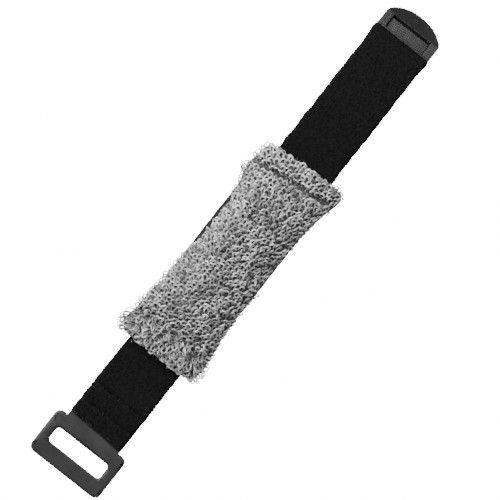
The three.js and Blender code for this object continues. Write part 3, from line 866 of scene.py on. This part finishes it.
near_ends = np.array([0.06, 0.2, 0.42, 0.7, 1.0])
even = np.linspace(pad_start, pad_end, ALONG + 1 - 2 * len(near_ends))
lines = np.sort(np.concatenate([even, pad_start + near_ends, pad_end - near_ends]))


def eased(values):
    """An outline's values at every line, without its corners."""
    fine_x = np.arange(pad_start - 6, pad_end + 6, 0.1)
    fine = np.interp(fine_x, OUTLINE[:, 0], values)
    kernel = np.hanning(25)
    return np.interp(lines, fine_x, np.convolve(fine, kernel / kernel.sum(), "same"))


half_back, half_front, heights = (eased(OUTLINE[:, k]) for k in (1, 2, 3))
end_distance = np.minimum(lines - pad_start, pad_end - lines)
rounding = np.sqrt(np.clip(1 - (1 - np.clip(end_distance / ROUND_END, 0, 1)) ** 2, 0, 1))
heights = heights * rounding
slant = np.interp(lines, [8, SEAM_RIGHT, HEM_RIGHT], [0, SEAM_LEAN, 1.2])

# %% The cover as a grid of points
def cross_section(i):
    """Points across the cover at one line, evenly spaced over its curve."""
    t = np.sin(np.linspace(-math.pi / 2, math.pi / 2, 600))
    half = np.where(t > 0, half_back[i], half_front[i]) - 0.9 * (1 - rounding[i])
    y, z = t * half, heights[i] * np.sqrt(np.clip(1 - np.abs(t) ** 2.5, 0, 1))
    walked = np.concatenate([[0], np.cumsum(np.hypot(np.diff(y), np.diff(z)))])
    even = np.linspace(0, walked[-1], ACROSS + 1)
    y, z = np.interp(even, walked, y), np.interp(even, walked, z)
    x = lines[i] - slant[i] * y / LEAN_AT
    return np.stack([x, y, PAD_BASE + 0.05 + z], axis=1)


cover_points = np.array([cross_section(i) for i in range(ALONG + 1)])
print("cover grid:", cover_points.shape, "top at", round(cover_points[..., 2].max(), 2))

# %% [markdown]
# The stuffing presses the cover out between its seams. A cloth simulation does this: the cover is
# held where it is sewn, pressure fills it, and it settles in twenty steps. A pad this small is
# simulated at twenty times its size, because the solver is made for garments and furniture. How
# far a point may move is capped, so that the pad keeps the room that the frame gives it.

# %% A closed pillow from two grids
def pillow():
    """The cover's top and its flat underside, joined along their common edge."""
    bm = bmesh.new()
    for lower in (False, True):
        verts = bmesh.ops.create_grid(bm, x_segments=ALONG, y_segments=ACROSS, size=1)["verts"]
        for v in verts:
            i, j = round((v.co.x + 1) / 2 * ALONG), round((v.co.y + 1) / 2 * ACROSS)
            point = cover_points[i, j].copy()
            if lower and 0 < i < ALONG and 0 < j < ACROSS:
                edge_a, edge_b = cover_points[i, 0], cover_points[i, ACROSS]
                point = edge_a + (edge_b - edge_a) * (j / ACROSS) + (0, 0, -0.02)
            v.co = point
    bmesh.ops.remove_doubles(bm, verts=bm.verts, dist=1e-4)
    bmesh.ops.recalc_face_normals(bm, faces=bm.faces)
    return bm


# %% Swelling
SIM_SCALE, SIM_FRAMES, PRESSURE, MOVE_CAP = 20.0, 20, 4.0, 0.9


def past_right_seam(points):
    """How far along X points lie beyond the slanting right seam."""
    return points[:, 0] + SEAM_LEAN * points[:, 1] / LEAN_AT - SEAM_RIGHT


def swell():
    """Moves cover_points to where the pressed cover settles."""
    bm = pillow()
    bmesh.ops.scale(bm, vec=(MM * SIM_SCALE,) * 3, verts=bm.verts)
    mesh = bpy.data.meshes.new("pad_simulation")
    bm.to_mesh(mesh)
    bm.free()
    pad = bpy.data.objects.new("pad_simulation", mesh)
    bpy.context.scene.collection.objects.link(pad)
    start = np.array([v.co for v in mesh.vertices]) / (MM * SIM_SCALE)
    seam = np.minimum(np.abs(start[:, 0] - SEAM_LEFT), np.abs(past_right_seam(start)))
    held = (start[:, 2] < PAD_BASE + 0.3) | (seam < 0.7)
    sewn = pad.vertex_groups.new(name="sewn")
    sewn.add([int(i) for i in np.nonzero(held)[0]], 1.0, "REPLACE")
    cloth = pad.modifiers.new("cloth", "CLOTH")
    settings = cloth.settings
    settings.vertex_group_mass = "sewn"
    settings.use_pressure = True
    settings.uniform_pressure_force = PRESSURE
    settings.effector_weights.gravity = 0
    settings.quality = 4
    settings.tension_stiffness = settings.compression_stiffness = 12
    settings.bending_stiffness = 0.4
    cloth.collision_settings.use_collision = False
    cloth.point_cache.frame_end = SIM_FRAMES
    scene = bpy.context.scene
    for number in range(1, SIM_FRAMES + 1):
        scene.frame_set(number)
    settled = pad.evaluated_get(bpy.context.evaluated_depsgraph_get()).to_mesh()
    moved = np.array([v.co for v in settled.vertices]) / (MM * SIM_SCALE) - start
    scene.frame_set(1)
    far = np.linalg.norm(moved, axis=1, keepdims=True)
    moved *= np.minimum(1, MOVE_CAP / np.maximum(far, 1e-9))
    print("pad swelled by up to", round(float(far.max()), 2), "mm, kept to", MOVE_CAP)
    finder = KDTree(len(start))
    for k, point in enumerate(start):
        finder.insert(point, k)
    finder.balance()
    for point in cover_points.reshape(-1, 3):
        point += moved[finder.find(point)[1]]
    bpy.data.objects.remove(pad)
    bpy.data.meshes.remove(mesh)


swell()

# %% The cover, cut in four
for number, x0, x1, bends in pad_lengths:
    bm = pillow()
    for x, way, wanted in ((x0, -1, number > 1), (x1, 1, number < 4)):
        if wanted:
            everything = bm.verts[:] + bm.edges[:] + bm.faces[:]
            cut = cut_across(bm, everything, x, way, clear_outer=True)["geom_cut"]
            bmesh.ops.contextual_create(bm, geom=[g for g in cut if isinstance(g, bmesh.types.BMEdge)])
    cover = piece_from(bm, f"pad_cover_{number}", [terry_ground_in_painted_shade])
    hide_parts(*pad_nodes(number, "terry_cover", "pad_foam"))
    bend(cover, *bends)
print("cover: cut at", [round(x, 1) for x in pad_cuts[1:-1]])

# %% [markdown]
# ## Terry
# Terry is a cloth with loops of yarn standing out of it, in rows and columns that washing has
# tangled. Each loop here is a real tube of yarn, because the look of terry is the dark between
# the loops and not their colour. They stand on the cover's own grid, row after row at an even
# pitch, turned and laid over by chance.

# %% Rows and columns over the cover
def stations(pitch_along, pitch_across, jitter):
    """Places on the cover, with its normal and its direction across."""
    centre = cover_points[:, ACROSS // 2]
    walked = np.concatenate([[0], np.cumsum(np.linalg.norm(np.diff(centre, axis=0), axis=1))])
    found = []
    for distance in np.arange(pitch_along / 2, walked[-1], pitch_along):
        i = min(int(np.searchsorted(walked, distance, "right")) - 1, ALONG - 1)
        share = (distance - walked[i]) / (walked[i + 1] - walked[i])
        row = cover_points[i] * (1 - share) + cover_points[i + 1] * share
        along = cover_points[i + 1] - cover_points[i]
        side = np.gradient(row, axis=0)
        up = unit(np.cross(along, side) + (0, 0, 1e-9))
        length = np.concatenate([[0], np.cumsum(np.linalg.norm(np.diff(row, axis=0), axis=1))])
        middle = length[-1] / 2
        count = int(middle / pitch_across)
        columns = np.arange(-count, count + 1)
        at = middle + columns * pitch_across + chance.uniform(-jitter, jitter, len(columns))
        at = np.clip(at, 0.3, length[-1] - 0.3)
        found.append(np.stack([
            np.stack([np.interp(at, length, v[:, k]) for k in range(3)], axis=1)
            for v in (row, up, side)
        ], axis=1))
    found = np.concatenate(found)
    roots, normals, sides = found[:, 0], unit(found[:, 1]), unit(found[:, 2])
    roots = roots + chance.uniform(-jitter, jitter, (len(roots), 1)) * unit(np.cross(sides, normals))
    return roots, normals, sides


def plied(paths, apart, turns, shades, number=3):
    """Each path becomes a few thin yarns that wind round it, some lighter and some darker."""
    count, points = paths.shape[:2]
    along = unit(np.gradient(paths, axis=1))
    spoke = paths - paths.mean(axis=1, keepdims=True)
    outward = unit(spoke - (spoke * along).sum(-1, keepdims=True) * along + 1e-9)
    aside = np.cross(along, outward)
    start = chance.uniform(0, 2 * math.pi, (count, 1)) + np.linspace(0, 2 * math.pi * turns, points)
    wound, tinted = [], []
    for ply in range(number):
        phase = (start + 2 * math.pi * ply / number)[..., None]
        wound.append(paths + apart * (np.cos(phase) * outward + np.sin(phase) * aside))
        tinted.append(shades + chance.normal(0, 0.18, count))
    return np.concatenate(wound), np.concatenate(tinted)


def fuzz(roots, normals, high):
    """Fine fibres that stand out beyond the loops."""
    ways = unit(chance.normal(0, 1, roots.shape) + 0.9 * normals)
    curl = unit(np.cross(ways, chance.normal(0, 1, roots.shape)))
    long = chance.uniform(0.5, 1.5, len(roots))[:, None]
    starts = roots + high * normals + chance.normal(0, 0.4, roots.shape)
    return np.stack([starts + t * long * ways + 0.4 * t**2 * curl for t in (0, 0.35, 0.7, 1)], axis=1)


# %% Loops of the terry
LOOP_PITCH, PLY = 1.66, 0.15
NAP_WAY = math.radians(38)  # the way most loops lie, from along the strap towards its back edge
PARTING_X, PARTING_Y, PARTING_HALF = 10.3, 3.6, 1.4  # the loops are parted here, and a black thread in the parting is painted shade
roots, normals, sides = stations(LOOP_PITCH, LOOP_PITCH, 0.3)
seam_gap = past_right_seam(roots)
off_x, off_y = roots[:, 0] - PARTING_X, roots[:, 1] - PARTING_Y
parted = np.abs(off_x - 0.2 * off_y) + 10 * np.maximum(0, np.abs(off_y) - PARTING_HALF)
keep = (roots[:, 0] > SEAM_LEFT - 1) & ((seam_gap < -0.85) | (seam_gap > 0.55)) & (parted > 0.7)
roots, normals, sides, seam_gap = roots[keep], normals[keep], sides[keep], seam_gap[keep]
count = len(roots)
forward = np.cross(sides, normals)
# beside the right seam the loops are shorter and lie back from it, which makes a groove, and they are
# painted darker as its shade
near_seam = np.clip(1 - (np.abs(seam_gap) - 0.4) / 1.2, 0, 1)
heading = NAP_WAY + chance.normal(0, 0.48, count)
from_seam = math.pi + 0.5 * chance.normal(0, 1, count)
heading = np.where((seam_gap < 0) & (near_seam > 0), from_seam, heading)
lying = unit(forward * np.cos(heading)[:, None] + sides * np.sin(heading)[:, None])
ways = np.cross(lying, normals)
radius = chance.uniform(0.72, 1.1, count) * (1 - 0.3 * near_seam)
height = chance.uniform(1.6, 2.5, count) * (1 - 0.3 * near_seam) * np.clip(0.5 + normals[:, 2], 0.65, 1)
lean = np.radians(chance.normal(50, 13, count))
twist = chance.normal(0, 0.15, count)
paths = loop_paths(roots - 0.25 * normals, normals, -ways, radius, height, -lean, twist=twist)
# painted shade: broad patches of lighter and darker loops stand for the shading of an uneven cover
painted_undulation_shade = np.array([noise.noise(Vector(root / 7)) for root in roots])
# the loops beside the right seam are painted darker as the groove's shade, and the right hem's loops are
# set lighter
shades = chance.normal(0.52, 0.13, count) + 0.5 * painted_undulation_shade - 0.85 * near_seam + 0.2 * (seam_gap > 0)
for number, x0, x1, bends in pad_lengths:
    mine = (roots[:, 0] >= (x0 if number > 1 else -99)) & (roots[:, 0] < (x1 if number < 4 else 99))
    plies, ply_shades = plied(paths[mine], 1.25 * PLY, 0.7, shades[mine])
    fibres = fuzz(roots[mine], normals[mine], 0.8)
    loops = threads(
        f"terry_loops_{number}", [*plies, *fibres], PLY, terry_yarn,
        np.concatenate([np.clip(ply_shades, 0, 1), np.full(len(fibres), 0.9)]), sides=4,
        thickness=np.repeat([1.0, 0.18], [len(plies), len(fibres)]),
    )
    bend(loops, *bends)
    print("terry loops:", int(mine.sum()), "with", len(loops.data.polygons), "faces")

# %% [markdown]
# The left hem is the raw end of the terry. Its loops are long and loose, they lie outwards over
# the edge, and at the corners they stand out as a fringe.

# %% Long loops of the left hem
roots, normals, _ = stations(1.6, 1.5, 0.4)
keep = roots[:, 0] < SEAM_LEFT - 0.3
roots, normals = roots[keep], normals[keep]
count = len(roots)
to_corner = np.sign(roots[:, 1]) * np.clip((np.abs(roots[:, 1]) - 11) / 6, 0, 1.3)
outward = np.stack([
    np.interp(roots[:, 0], [-52, -47, -43], [-1.0, -0.8, -0.35]),
    to_corner + chance.normal(0, 0.3, count),
    0 * roots[:, 0],
], axis=1)
outward = unit(outward - (outward * normals).sum(1, keepdims=True) * normals)
ways = unit(np.cross(outward, normals))
reach_out = chance.uniform(2.0, 3.6, count) * np.interp(roots[:, 0], [-52, -49], [0.62, 1.0])
lean = np.radians(chance.normal(66, 9, count))
paths = loop_paths(
    roots - 0.2 * normals, normals, -ways, chance.uniform(0.6, 1.15, count), reach_out, -lean,
    points=10, open_deg=160, twist=chance.normal(0, 0.25, count),
)
paths, shades = plied(paths, 0.17, 1.0, chance.normal(0.5, 0.1, count))
shades = np.clip(shades, 0, 0.75)
# a few plies are set white, as painted highlights
shades[chance.random(len(shades)) < 0.03] = 1.0
loose = np.repeat(np.arange(count), 2)
fibres = fuzz(roots[loose], unit(normals[loose] + 1.5 * outward[loose]), 1.0)
hem_loops = threads(
    "hem_loops", [*paths, *fibres], 0.12, hem_yarn,
    np.concatenate([shades, np.full(len(fibres), 0.7)]), sides=4,
    thickness=np.repeat([1.0, 0.28], [len(paths), len(fibres)]),
)
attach(hem_loops, "pad_1")
print("hem loops:", count, "with", len(hem_loops.data.polygons), "faces")

# %% Seams of the pad
def cover_place(x, y):
    """The cover's point nearest to a place seen from above."""
    flat = (cover_points[..., 0] - x) ** 2 + (cover_points[..., 1] - y) ** 2
    i, j = np.unravel_index(flat.argmin(), flat.shape)
    return (x, y, cover_points[i, j, 2] + 0.15)


def on_right_seam(y):
    return cover_place(SEAM_RIGHT - SEAM_LEAN * y / LEAN_AT, y)


left_rows = stitch_paths(33, lambda y: cover_place(SEAM_LEFT, y))
left_seam = stitches("end_seam_threads_left", left_rows, THREAD_RADIUS, grey_thread)
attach(left_seam, "pad_1")
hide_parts("end_seam_left")
right_rows = stitch_paths(34, on_right_seam)
right_seam = stitches("end_seam_threads_right", right_rows, THREAD_RADIUS, grey_thread)
bend(right_seam, *pad_bends[3])
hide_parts("end_seam_right")

SIDE_SEAM_Y, SIDE_SEAM_Z = box("side_seam_back_1")[1].y - 0.2, box("side_seam_back_1")[1].z - 0.2
for number, x0, x1, bends in pad_lengths:
    rows = []
    for y in (-SIDE_SEAM_Y, SIDE_SEAM_Y):
        at = lambda s: ((x0 + x1) / 2 + s, y, SIDE_SEAM_Z)
        rows += stitch_paths(x1 - x0 - 0.6, at, rise=-0.16)
    seams = stitches(f"side_seam_threads_{number}", rows, 0.18, black_thread)
    bend(seams, *bends)
    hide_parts(*pad_nodes(number, "side_seam_front"), *pad_nodes(number, "side_seam_back"))
print("end seams:", len(left_rows), "and", len(right_rows), "stitches")

# %% A black thread in the parted loops on the pad, as painted shade
PARTING_LINE = ((11.0, 5.3), (10.6, 4.4), (10.2, 3.5), (9.8, 2.7), (9.6, 2.1))
FIBRE_OVER = 1.9  # it lies among the loops' crowns, this far over the cover
path = [
    (x, y, cover_place(x, y)[2] + FIBRE_OVER + 0.25 * math.sin(k * 1.6))
    for k, (x, y) in enumerate(PARTING_LINE)
]
# a black thread laid in the parting, as painted shade
painted_shade_fibre = threads("painted_shade_fibre", [path], 0.22, black_thread, [0.2])
bend(painted_shade_fibre, *pad_bends[2])

# %% [markdown]
# ## Tip and hook patch
# The pile stops where the patch is welded on. The patch is a moulding: a recessed panel with a
# slanting weave pressed into it, a low ridge at the weld, a smooth rail along each side, and a
# raised rim round the tip, made of fine ribs that run along the strap. Every rib carries a row of
# tiny hooks and ends on its own, which makes the jagged outline of the tip.

# %% The tip's cloth
def tip_end(y):
    """The tip's outline: the furthest place along X at a place across."""
    return TIP_END - 4.0 * (abs(y) / 11.6) ** 2.5 - 1.6 * max(0.0, abs(y) - 11.7)


TAIL_MIDDLE, PILE_END, WELDED_TOP = middles["tail"], PATCH_LEFT - 0.3, 0.9
bm = bmesh.new()
cloth_length(bm, TAIL_MIDDLE, PILE_END, STRAP_HALF, 0, STRAP_TOP)
cloth_length(
    bm, PILE_END, TIP_END, STRAP_HALF, 0, WELDED_TOP, end=lambda y: tip_end(y) - 0.15, edge=None
)
strap_tip = strap_piece(bm, "strap_tip_cloth")
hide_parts("strap_tip", "strap_panel_tail")
tip_nap = nap_loops("nap_tip", TAIL_MIDDLE, PATCH_LEFT - 0.2, STRAP_HALF, STRAP_TOP)
for piece in (strap_tip, tip_nap):
    bend(piece, "tail", "tip", TAIL_MIDDLE, PATCH_LEFT)

# %% Panel, ridge and rails
PATCH_LOW, PATCH_HIGH = box("hook_patch")[0].z, box("hook_patch")[1].z
PATCH_ROOT = PATCH_LOW - 0.35  # sunk into the cloth
PANEL = (PATCH_LEFT + 0.72, TIP_END - 6.8, 8.5)  # from, to, and half its width
# between the panel and the rim the black strap cloth shows, as painted shade in the groove
RIM_START, RIM_SIDE = TIP_END - 5.7, 8.75


def rounded_block(bm, x0, x1, y0, y1, top, offset, steps=2):
    """A block on the patch with its upper edges rounded."""
    verts = block(bm, x0, x1, y0, y1, PATCH_ROOT, top)
    edges = {e for v in verts for e in v.link_edges}
    round_over(bm, [e for e in edges if all(v.co.z > top - 0.01 for v in e.verts)], offset, steps)


bm = bmesh.new()
rounded_block(bm, PANEL[0], PANEL[1], -PANEL[2], PANEL[2], PATCH_LOW + 0.45, 0.25)
rounded_block(
    bm, PATCH_LEFT + 0.05, PATCH_LEFT + 0.7, -STRAP_HALF + 0.2, STRAP_HALF - 0.2, PATCH_LOW + 0.5, 0.3
)
for side in (-1, 1):
    y0, y1 = sorted((side * RIM_SIDE, side * (STRAP_HALF - 0.1)))
    rounded_block(bm, PATCH_LEFT + 0.5, RIM_START + 0.6, y0, y1, PATCH_LOW + 1.0, 0.6, steps=4)
patch_panel = piece_from(bm, "hook_patch_panel", [patch_weave])
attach(patch_panel, "tip")
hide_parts("hook_patch")

# %% Hooks of the rim
RIB_PITCH, RIB_WIDTH, HOOK_PITCH, HOOK_DIP = 0.55, 0.34, 0.34, 0.4
bm = bmesh.new()
cloth_length(
    bm, RIM_START, TIP_END, STRAP_HALF, PATCH_ROOT, PATCH_LOW + 0.7,
    end=lambda y: tip_end(y) - 0.3, edge=None, step=0.6,
)
for face in bm.faces:
    face.material_index = 1  # the slab between the ribs is black
rib_places = np.arange(-STRAP_HALF + 0.3, STRAP_HALF - 0.2, RIB_PITCH)
for number, y in enumerate(rib_places):
    finish = tip_end(y) + chance.choice([-0.6, 0.1]) + chance.uniform(-0.1, 0.1)
    rib = block(bm, RIM_START, finish, y - RIB_WIDTH / 2, y + RIB_WIDTH / 2, PATCH_LOW + 0.3, PATCH_HIGH)
    edges = edges_along({e for v in rib for e in v.link_edges}, 0)
    cuts = max(1, int((finish - RIM_START) / HOOK_PITCH))
    made = bmesh.ops.subdivide_edges(bm, edges=edges, cuts=cuts)
    for v in {g for g in made["geom_inner"] if isinstance(g, bmesh.types.BMVert)}:
        if v.co.z > PATCH_HIGH - 0.05:
            low_place = round((v.co.x - RIM_START) / HOOK_PITCH + number) % 2
            v.co.z -= HOOK_DIP * low_place
            v.co.y = y + (v.co.y - y) * (1.15 if low_place else 0.75)
patch_rim = piece_from(bm, "hook_patch_rim", [hook_plastic, pile_ground], sharp_deg=50)
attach(patch_rim, "tip")
print("hook patch:", len(rib_places), "ribs and", len(patch_rim.data.polygons), "faces")

# %% [markdown]
# ## Lint
# A cut cloth sheds. A few stray fibres cling to the sewn edge and the stitch rows, and one long
# one hangs off the strap beside the pad.

# %% Stray fibres
LINT_OVER = 0.42  # how far over the cloth the fibres lie
lint = []
for x, count in ((PLIES_START + 0.3, 14), (STITCH_ROWS[0], 4), (STITCH_ROWS[1], 4)):
    for y in chance.uniform(-STRAP_HALF, STRAP_HALF, count):
        heading, long = chance.uniform(0, 2 * math.pi), chance.uniform(0.5, 1.4)
        t = np.linspace(-0.5, 0.5, 5)
        bow = chance.uniform(-0.5, 0.5) * long * (0.25 - t**2)
        px = x + long * t * math.cos(heading) - bow * math.sin(heading)
        py = y + long * t * math.sin(heading) + bow * math.cos(heading)
        pz = np.array([sewn_top(a) + LINT_OVER for a in px]) + 0.1 * np.cos(9 * t)
        lint.append(np.stack([px, py, pz], axis=1))
t = np.linspace(0, 1, 12)
hanging_y = -STRAP_HALF - 1.3 * np.sin(2.6 * t) ** 2 + 0.2
lint.append(np.stack([-62.5 + 8 * t, hanging_y, 0.9 + 0.5 * np.sin(5 * t)], axis=1))
shades = chance.uniform(0.0, 0.6, len(lint))
lint_fibres = threads("stray_fibres", lint, 0.06, grey_thread, shades, sides=4)
bend(lint_fibres, "buckle_end", "strap_left", TONGUE_PAST - 1.5, LEFT_MIDDLE)
print("stray fibres:", len(lint))
